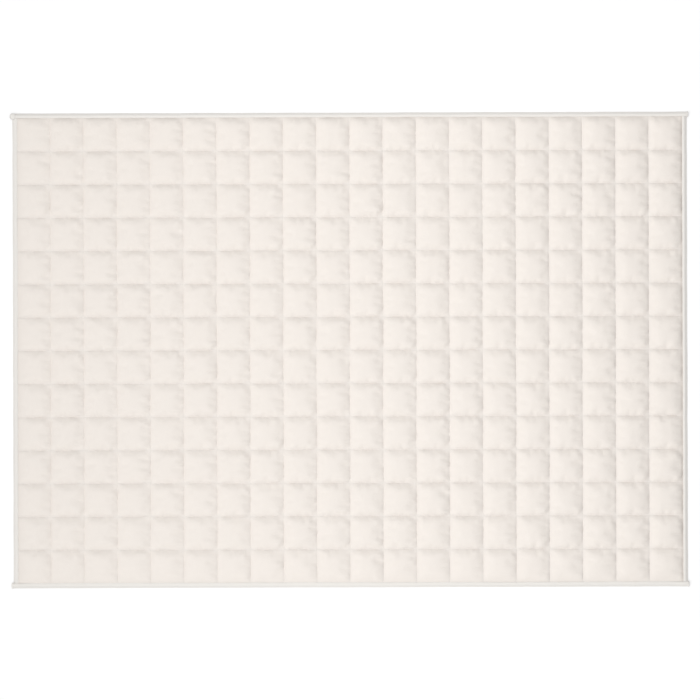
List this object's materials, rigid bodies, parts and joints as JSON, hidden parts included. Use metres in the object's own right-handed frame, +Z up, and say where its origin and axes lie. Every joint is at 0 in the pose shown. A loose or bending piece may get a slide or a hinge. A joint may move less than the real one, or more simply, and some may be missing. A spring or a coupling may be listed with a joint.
{
  "type": "weighted blanket",
  "caption": "Weighted blanket laid flat: a filled panel quilted into square pockets, its edge bound with folded tape whose ends stand out at the corners.",
  "frame": {"origin": "middle of the blanket on the surface that it lies on", "axes": "+X along the length, +Y across the width, +Z up out of the quilted upper face"},
  "size_m": [2.0154, 1.408, 0.0151],
  "materials": {
    "quilt_cloth": "matt",
    "binding_tape": "matt",
    "sewing_thread": "satin"
  },
  "bodies": {
    "root": {"quilt": "quilt_cloth", "binding_left": "binding_tape", "binding_right": "binding_tape", "binding_top": "binding_tape", "binding_bottom": "binding_tape"}
  },
  "joints": []
}
